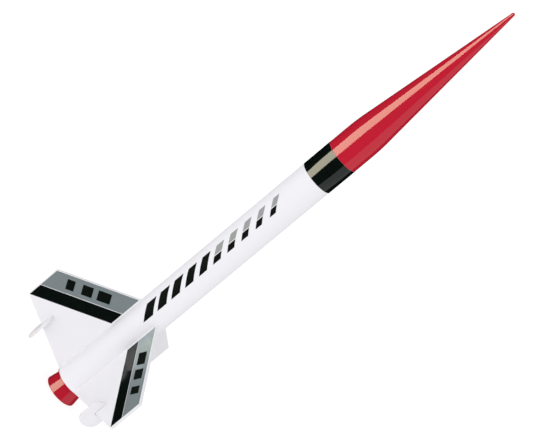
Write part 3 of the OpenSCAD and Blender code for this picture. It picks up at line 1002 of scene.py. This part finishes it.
def join(name, objects):
    """One object made of several, with their meshes together."""
    work = bmesh.new()
    materials = []
    for obj in objects:
        start = len(work.faces)
        work.from_mesh(obj.data)
        work.faces.ensure_lookup_table()
        for slot_material in obj.data.materials:
            if slot_material not in materials:
                materials.append(slot_material)
        for face in work.faces[start:]:
            face.material_index = materials.index(obj.data.materials[face.material_index])
    whole = new_object(name, [])
    work.to_mesh(whole.data)
    work.free()
    for slot_material in materials:
        whole.data.materials.append(slot_material)
    for obj in objects:
        bpy.data.objects.remove(obj)
    return whole


def fin_outline(inset, corner):
    """Points of a fin's outline, moved in from its three free edges."""
    edges = []
    for upper in (True, False):
        start = Vector((TUBE_R, fin_line(TUBE_R, upper)))
        end = Vector((FIN_TIP_R, fin_line(FIN_TIP_R, upper)))
        way = (end - start).normalized()
        inward = Vector((way.y, -way.x)) if upper else Vector((-way.y, way.x))
        edges.append((start + inward * inset, way))

    def at(edge, radius):
        """The point of an edge at a distance from the axis."""
        start, way = edge
        return start + way * (radius - start.x) / way.x

    leading, trailing = edges
    tip = FIN_TIP_R - inset
    return soften([
        (*at(trailing, TUBE_R), 0), (*at(trailing, tip), corner - inset),
        (*at(leading, tip), corner - inset), (*at(leading, TUBE_R), 0),
    ], 5)


def fin_board(number):
    """A die-cut balsa fin with rounded edges, whose root follows the round tube."""
    sizes = bpy.context.scene.rocket_sizes
    edge, steps = sizes.fin_edge, 5
    angles = [math.pi / 2 * (k / steps - 1) for k in range(steps + 1)]
    rows = [(edge * (1 + math.sin(a)) - FIN_HALF, edge * (1 - math.cos(a))) for a in angles]
    rows += [(-y, inset) for y, inset in reversed(rows)]
    points = []
    for y, inset in rows:
        outline = fin_outline(inset, sizes.fin_corner)
        root = math.sqrt(TUBE_R ** 2 - y ** 2)
        points += [(root if p.x <= TUBE_R + 0.001 * MM else p.x, y, p.y) for p in outline]
    faces = lofted(len(points) // len(rows), len(rows))
    fin = point_out(new_object(f"balsa_fin_{number}", points, faces=faces))
    fin.data.materials.append(finish_of("painted_balsa"))
    write_uv(fin, lambda p: (p.x, p.z - fin_line(p.x, True)))
    fin.data.transform(fin_turn(number))
    return place(fin, "airframe", "painted_balsa", f"fin_{number}")


def straddle_plate(number):
    """A rounded plate that straddles a fin's trailing edge, slotted from its front end."""
    sizes = bpy.context.scene.rocket_sizes
    low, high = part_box("fin_plate_1")
    half = (high.y - low.y) / 2
    inner_r, outer_r = -high.x, -low.x
    slot_y = FIN_HALF + sizes.plate_gap
    slot_z = fin_line(inner_r, False) - sizes.plate_gap
    opening = math.acos(slot_y / half)
    front_z = high.z - sizes.plate_front
    rear_z = low.z + sizes.plate_rear
    steps = 20
    front = [opening * (1 - k / steps) for k in range(steps + 1)]
    rear = [-math.pi * k / (2 * steps) for k in range(2 * steps + 1)]
    right = [(half * math.cos(a), front_z + sizes.plate_front * math.sin(a)) for a in front]
    left = [(-x, z) for x, z in reversed(right)]
    end = [(half * math.cos(a), rear_z + sizes.plate_rear * math.sin(a)) for a in rear]
    outline = [(slot_y, slot_z)] + right + end + left + [(-slot_y, slot_z)]
    plate = prism(f"straddle_plate_{number}", outline, outer_r - inner_r, 0.3 * MM,
                  finish_of("painted_balsa"))
    plate.data.materials.append(finish_of("balsa_edge"))
    for face in plate.data.polygons:
        face.material_index = 1 if abs(face.normal.y) < 0.5 else 0
    write_uv(plate, lambda p: (p.z, p.x))
    across = Matrix.Rotation(math.pi / 2, 4, "Z")
    stand = Matrix.Translation(((inner_r + outer_r) / 2, 0, 0)) @ across
    plate.data.transform(fin_turn(number) @ stand)
    return place(plate, "airframe", "painted_balsa", f"fin_plate_{number}")


def glue_beads(number):
    """The two concave glue beads along a fin's root, which thin out at their ends."""
    sizes = bpy.context.scene.rocket_sizes
    start = fin_line(TUBE_R, False) + FIN_HALF
    end = fin_line(TUBE_R, True) - 2 * FIN_HALF
    stations, arc_steps = 60, 8
    # A bead fades over a twelfth of its length, down to a quarter of its radius at the very end.
    fading, thin = 12, 0.25
    # It also swells and shrinks a little along its length, as a fingertip leaves it.
    ripples, ripple = 23, 0.04
    # It starts just inside the tube and the fin.
    sunk = 0.3 * MM
    meshes = []
    for side in (-1, 1):
        points = []
        for station in range(stations + 1):
            share = station / stations
            wave = 1 - ripple + ripple * math.sin(share * ripples + number + side)
            fade = min(1.0, share * fading, (1 - share) * fading)
            radius = sizes.fillet * wave * (thin + (1 - thin) * math.sin(fade * math.pi / 2))
            scoop_y = FIN_HALF + radius
            scoop_x = math.sqrt((TUBE_R + radius) ** 2 - scoop_y ** 2)
            on_tube = math.atan2(-scoop_y, -scoop_x)
            ring = [(TUBE_R - sunk, FIN_HALF - sunk)]
            for step in range(arc_steps + 1):
                angle = -math.pi / 2 + (on_tube + math.pi / 2) * step / arc_steps
                ring.append(
                    (scoop_x + radius * math.cos(angle), scoop_y + radius * math.sin(angle)))
            z = start + (end - start) * share
            points += [(x, side * y, z) for x, y in ring]
        faces = lofted(arc_steps + 2, stations + 1)
        bead = point_out(new_object("bead", points, faces=faces))
        bead.data.transform(fin_turn(number))
        bead.data.materials.append(finish_of("white_glue"))
        meshes.append(bead)
    return meshes


class ROCKET_OT_fins(bpy.types.Operator):
    """Makes the three fins, their straddling plates and the glue along the roots"""

    bl_idname = "rocket.fins"
    bl_label = "Fins"

    def execute(self, context):
        beads = []
        for number in range(1, FIN_COUNT + 1):
            fin_board(number)
            straddle_plate(number)
            beads += glue_beads(number)
        place(join("fin_root_glue", beads), "airframe", "white_glue", "glue_fillets")
        return {"FINISHED"}


class ROCKET_OT_fin_decals(bpy.types.Operator):
    """Finishes the fins' silver panels and black stripes, and lays the bars on the panels"""

    bl_idname = "rocket.fin_decals"
    bl_label = "Fin Decals"

    def execute(self, context):
        sizes = context.scene.rocket_sizes
        span = FIN_TIP_R - TUBE_R
        first_share, pitch_share, width_share, less_share, lean = 0.22, 0.215, 0.72, 0.14, 0.45
        first, pitch = TUBE_R + first_share * span, pitch_share * span
        face = FIN_HALF + 1.5 * sizes.skin
        middle = (sizes.margin + sizes.panel) / 2
        row = {
            "Count": sizes.fin_bars, "First": 0, "Pitch": pitch, "Width": width_share * pitch,
            "Narrowing": less_share * pitch, "Low": 0.0, "High": sizes.fin_bar_height,
            "Lean": lean, "Cuts": 2,
        }
        # The decals are on the two faces that look at the body bars.
        for number, side in ((1, 1), (2, -1)):
            for node, slot in (("fin_panel", "silver_decal"), ("fin_stripe", "fin_black")):
                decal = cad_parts[f"{node}_{number}"]
                for holder in decal.material_slots:
                    holder.material = finish_of(slot)

            def on_panel(along, height):
                """Moves the flat row onto the fin's face, along its leading edge."""
                x = first + along
                z = fin_line(x, True) - middle - sizes.fin_bar_height / 2 + height
                return fin_turn(number) @ Vector((x, side * face, z))

            dark = thicken(bars(f"fin_bars_on_{number}", "black_ink", row, on_panel), sizes.skin)
            place(dark, "airframe", "black_decal", f"fin_bars_{number}")
        return {"FINISHED"}


class ROCKET_OT_tail_ring(bpy.types.Operator):
    """Makes the moulded tail ring, with the hook's slot through it"""

    bl_idname = "rocket.tail_ring"
    bl_label = "Tail Ring"

    def execute(self, context):
        sizes = context.scene.rocket_sizes
        low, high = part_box("tail_ring")
        bore = MOTOR_HIGH.x + sizes.glue_gap
        front = bore + sizes.ring_wall
        rear = front + sizes.ring_flare
        mouth = rear - sizes.ring_lip
        inside = TUBE_R - sizes.tube_wall - sizes.glue_gap
        flange = TUBE_LOW.z - sizes.ring_flange
        # Its finish is the red darkened as painted shade.
        ring = turned("moulded_tail_ring", soften([
            (bore, high.z, 0.1 * MM), (bore, MOTOR_LOW.z, 0), (mouth, low.z, 0.5 * MM),
            (rear, low.z, 0.5 * MM), (front, flange, 0.4 * MM), (TUBE_R, flange, 0.25 * MM),
            (TUBE_R, TUBE_LOW.z, 0.1 * MM), (inside, TUBE_LOW.z, 0), (inside, high.z, 0.5 * MM),
        ]), finish_of("tail_red_painted_shade"))
        cut_hook_slot(ring, TUBE_R + 1 * MM, low.z, high.z)
        place(ring, "airframe", "red_plastic", "tail_ring")
        return {"FINISHED"}


class ROCKET_OT_motor_mount(bpy.types.Operator):
    """Makes the motor tube, the thrust ring, the two centring rings and the hook's paper sleeve"""

    bl_idname = "rocket.motor_mount"
    bl_label = "Motor Mount"

    def execute(self, context):
        sizes = context.scene.rocket_sizes
        motor_r = MOTOR_HIGH.x
        hook_out = motor_r + sizes.hook_gap + sizes.hook_thick
        on_motor = motor_r + sizes.glue_gap
        in_tube = TUBE_R - sizes.tube_wall - sizes.glue_gap
        rows = [
            ("motor_tube", "paper_motor_tube", "brown_paper", motor_r - sizes.motor_wall,
             motor_r, None),
            ("thrust_ring", "card_thrust_ring", "card", sizes.thrust_bore, motor_r, None),
            ("front_centring_ring", "card_front_ring", "card", on_motor, in_tube,
             hook_out + sizes.glue_gap),
            ("rear_centring_ring", "card_rear_ring", "card", on_motor, in_tube,
             hook_out + sizes.hook_room),
            ("hook_sleeve", "paper_hook_sleeve", "card", on_motor,
             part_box("hook_sleeve")[1].x, hook_out + sizes.glue_gap),
        ]
        for node, name, slot, inner, outer, slot_r in rows:
            low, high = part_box(node)
            rounding = 0.08 * MM if node == "motor_tube" else 0.25 * MM
            piece = turned(name, soften(ring_corners(inner, outer, low.z, high.z, rounding), 3),
                           finish_of(slot))
            if slot_r:
                cut_hook_slot(piece, slot_r, low.z, high.z)
            place(piece, "airframe", slot, node)
        return {"FINISHED"}


class ROCKET_OT_hook(bpy.types.Operator):
    """Bends the spring-steel motor hook: the fixed strip and its free tail"""

    bl_idname = "rocket.hook"
    bl_label = "Motor Hook"

    def execute(self, context):
        sizes = context.scene.rocket_sizes
        inner = MOTOR_HIGH.x + sizes.hook_gap
        outer = inner + sizes.hook_thick
        fixed_low, fixed_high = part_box("hook_strip")
        free_low, free_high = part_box("hook_finger")
        thick = sizes.hook_thick
        outside, within, end = 0.8 * MM, 0.25 * MM, 0.12 * MM
        front_tang, rear_tang = reach("hook_strip"), reach("hook_finger")
        fixed = [
            (inner, fixed_low.z, end), (outer, fixed_low.z, end), (outer, fixed_high.z, outside),
            (front_tang, fixed_high.z, end), (front_tang, fixed_high.z - thick, end),
            (inner, fixed_high.z - thick, within),
        ]
        free = [
            (inner, free_high.z, end), (inner, free_low.z + thick, within),
            (rear_tang, free_low.z + thick, end), (rear_tang, free_low.z, end),
            (outer, free_low.z, outside), (outer, free_high.z, end),
        ]
        for name, corners, body, node in (
            ("steel_hook_strip", fixed, "airframe", "hook_strip"),
            ("steel_hook_tail", free, "hook_tail", "hook_finger"),
        ):
            strip = prism(name, soften(corners), sizes.hook_width, 0.08 * MM,
                          finish_of("spring_steel"))
            strip.data.transform(Matrix.Rotation(HOOK_ANGLE, 4, "Z"))
            place(strip, body, "spring_steel", node)
        return {"FINISHED"}


def reach(node):
    """How near to the axis a node's bent tang comes, along the hook's direction."""
    way = Vector((math.cos(HOOK_ANGLE), math.sin(HOOK_ANGLE), 0))
    return min(v.co.dot(way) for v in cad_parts[node].data.vertices)


class ROCKET_OT_recovery(bpy.types.Operator):
    """Makes the folded paper cord anchor and the rolled parachute"""

    bl_idname = "rocket.recovery"
    bl_label = "Recovery Parts"

    def execute(self, context):
        sizes = context.scene.rocket_sizes
        anchor_low, anchor_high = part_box("cord_anchor")
        outer = TUBE_R - sizes.tube_wall - sizes.glue_gap
        layers = 3
        thick = 0.3 * MM
        half_turn = math.radians(35)
        leaves = []
        for layer in range(layers):
            radius = outer - (layer + 0.5) * (thick + 0.03 * MM)
            turn = half_turn * (1 - 0.03 * layer)
            rise = 0.4 * MM * layer
            leaf = run_tree(
                new_object("leaf", [(0, 0, 0)]), TREES["bars"], Count=1, First=0, Pitch=0.0,
                Width=anchor_high.z - anchor_low.z - 2 * rise, Narrowing=0.0, Low=-turn, High=turn,
                Lean=0.0, Cuts=19, Material=finish_of("brown_paper"))
            for vertex in leaf.data.vertices:
                along, angle = vertex.co.x, vertex.co.y
                hump = 0.12 * MM * math.exp(-(angle / 0.12) ** 2)
                r = radius - hump
                vertex.co = (r * math.cos(angle), r * math.sin(angle), anchor_low.z + rise + along)
            leaves.append(thicken(leaf, thick))
        anchor = join("folded_cord_anchor", leaves)
        anchor.data.transform(Matrix.Rotation(HOOK_ANGLE + math.pi, 4, "Z"))
        place(anchor, "airframe", "brown_paper", "cord_anchor")

        chute_low, chute_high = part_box("parachute_pack")
        turns, steps_per_turn = 26.5, 48
        film = run_tree(
            new_object("rolled_parachute", [(0, 0, 0)]), TREES["roll"], Inner_Radius=1.5 * MM,
            Outer_Radius=chute_high.x - 0.1 * MM, Length=chute_high.z - chute_low.z,
            Edge=sizes.chute_edge, Turns=turns, Steps=int(turns * steps_per_turn) + 1, Rows=13,
            Crinkle=0.25 * MM,
            Material=finish_of("parachute_film"))
        film.data.transform(Matrix.Translation((0, 0, (chute_low.z + chute_high.z) / 2)))
        place(film, "parachute", "parachute_film", "parachute_pack")
        # A six-sided canopy, 305 mm from corner to corner.
        return {"FINISHED"}


class ROCKET_OT_stage(bpy.types.Operator):
    """Makes the pale floor, the soft light, the cards that show in reflections and the camera"""

    bl_idname = "rocket.stage"
    bl_label = "Stage"

    def execute(self, context):
        scene = context.scene
        scene.view_settings.view_transform = "Standard"
        scene.view_settings.look = "None"
        world = bpy.data.worlds.new("soft_sky")
        world.use_nodes = True
        world.node_tree.nodes.clear()
        sky = add(world.node_tree, "ShaderNodeBackground", {
            "Color": (1.0, 1.0, 1.0, 1), "Strength": 0.75})
        add(world.node_tree, "ShaderNodeOutputWorld", {"Surface": sky.outputs[0]})
        scene.world = world
        world.cycles_visibility.glossy = False

        radius, sides = 8.0, 96
        turns = [2 * math.pi * k / sides for k in range(sides)]
        rim = [(radius * math.cos(a), radius * math.sin(a), CAD_BOX[0].z) for a in turns]
        floor = new_object("floor", rim, faces=[tuple(range(sides))])
        floor.data.materials.append(backdrop_paper())
        floor.visible_glossy = False

        # Direction and width in degrees, distance and height in metres, colour and radiance.
        cards = [
            ("key_card", 214.5, 48, 1.0, 2.2, (1.0, 0.95, 0.72), 4.1),
            ("far_card", 341, 68, 1.0, 2.2, (0.95, 1.0, 1.0), 0.34),
        ]
        for name, direction, width, distance, height, tint, radiance in cards:
            half = distance * math.tan(math.radians(width / 2))
            middle = (CAD_BOX[0].z + CAD_BOX[1].z) / 2
            card = new_object(name, [
                (distance, -half, middle - height / 2), (distance, -half, middle + height / 2),
                (distance, half, middle + height / 2), (distance, half, middle - height / 2),
            ], faces=[(0, 1, 2, 3)])
            card.data.transform(Matrix.Rotation(math.radians(direction), 4, "Z"))
            card.data.materials.append(glow(name, tint, radiance))
            card.visible_camera = False
            card.visible_diffuse = False
            card.visible_shadow = False

        softbox_distance, camera_distance = 2.6, 1.6
        # Direction and height in degrees, side in metres and energy.
        for name, azimuth, elevation, side, energy in (
                ("front_softbox", 258, 20, 2.4, 16), ("back_softbox", 40, 30, 1.0, 7)):
            softbox = bpy.data.lights.new(name, "AREA")
            softbox.shape = "SQUARE"
            softbox.size = side
            softbox.energy = energy
            box = bpy.data.objects.new(name, softbox)
            way = direction_of(azimuth, elevation)
            box.location = way * softbox_distance
            box.rotation_mode = "QUATERNION"
            box.rotation_quaternion = way.to_track_quat("Z", "Y")
            box.visible_glossy = False
            scene.collection.objects.link(box)

        camera = bpy.data.cameras.new("camera")
        camera.lens, camera.sensor_width = 167.7, 36.0
        camera.clip_start, camera.clip_end = 0.05, 30.0
        eye = bpy.data.objects.new("camera", camera)
        azimuth, elevation, roll = 261.51, 16.66, math.radians(50.25)
        back = direction_of(azimuth, elevation)
        turn = math.radians(azimuth)
        flat_right = Vector((-math.sin(turn), math.cos(turn), 0))
        flat_up = back.cross(flat_right)
        right = flat_right * math.cos(roll) + flat_up * math.sin(roll)
        target = flat_right * 2.04 * MM + Vector((0, 0, 184.41 * MM))
        eye.matrix_world = Matrix.Translation(target + back * camera_distance) @ Matrix(
            (right, back.cross(right), back)).transposed().to_4x4()
        scene.collection.objects.link(eye)
        scene.camera = eye
        return {"FINISHED"}


def direction_of(azimuth, elevation):
    """The unit vector towards a direction in degrees, from +X towards +Y and up."""
    a, e = math.radians(azimuth), math.radians(elevation)
    return Vector((math.cos(e) * math.cos(a), math.cos(e) * math.sin(a), math.sin(e)))


OPERATORS = [
    ROCKET_OT_stage, ROCKET_OT_nose, ROCKET_OT_body, ROCKET_OT_body_bars, ROCKET_OT_fins,
    ROCKET_OT_fin_decals, ROCKET_OT_tail_ring, ROCKET_OT_motor_mount, ROCKET_OT_hook,
    ROCKET_OT_recovery,
]


class ROCKET_PT_panel(bpy.types.Panel):
    """Lists the rocket's pieces in the sidebar"""

    bl_idname = "ROCKET_PT_panel"
    bl_label = "Model Rocket"
    bl_space_type = "VIEW_3D"
    bl_region_type = "UI"
    bl_category = "Rocket"

    def draw(self, context):
        for operator in OPERATORS:
            self.layout.operator(operator.bl_idname)
        for group in (context.scene.rocket_sizes, context.scene.rocket_colours):
            column = self.layout.column(align=True)
            for name in group.__annotations__:
                column.prop(group, name)


CLASSES = [RocketSizes, RocketColours, *OPERATORS, ROCKET_PT_panel]


def register():
    """Registers the classes and the settings."""
    for cls in CLASSES:
        bpy.utils.register_class(cls)
    bpy.types.Scene.rocket_sizes = bpy.props.PointerProperty(type=RocketSizes)
    bpy.types.Scene.rocket_colours = bpy.props.PointerProperty(type=RocketColours)


def unregister():
    """Takes the settings and the classes away."""
    del bpy.types.Scene.rocket_colours
    del bpy.types.Scene.rocket_sizes
    for cls in reversed(CLASSES):
        bpy.utils.unregister_class(cls)


def main():
    """Builds the rocket on its stage."""
    register()
    TREES.update(turning=turning_tree(), bars=bars_tree(), roll=roll_tree())
    for operator in OPERATORS:
        family, name = operator.bl_idname.split(".")
        getattr(getattr(bpy.ops, family), name)()


if __name__ == "__main__":
    main()
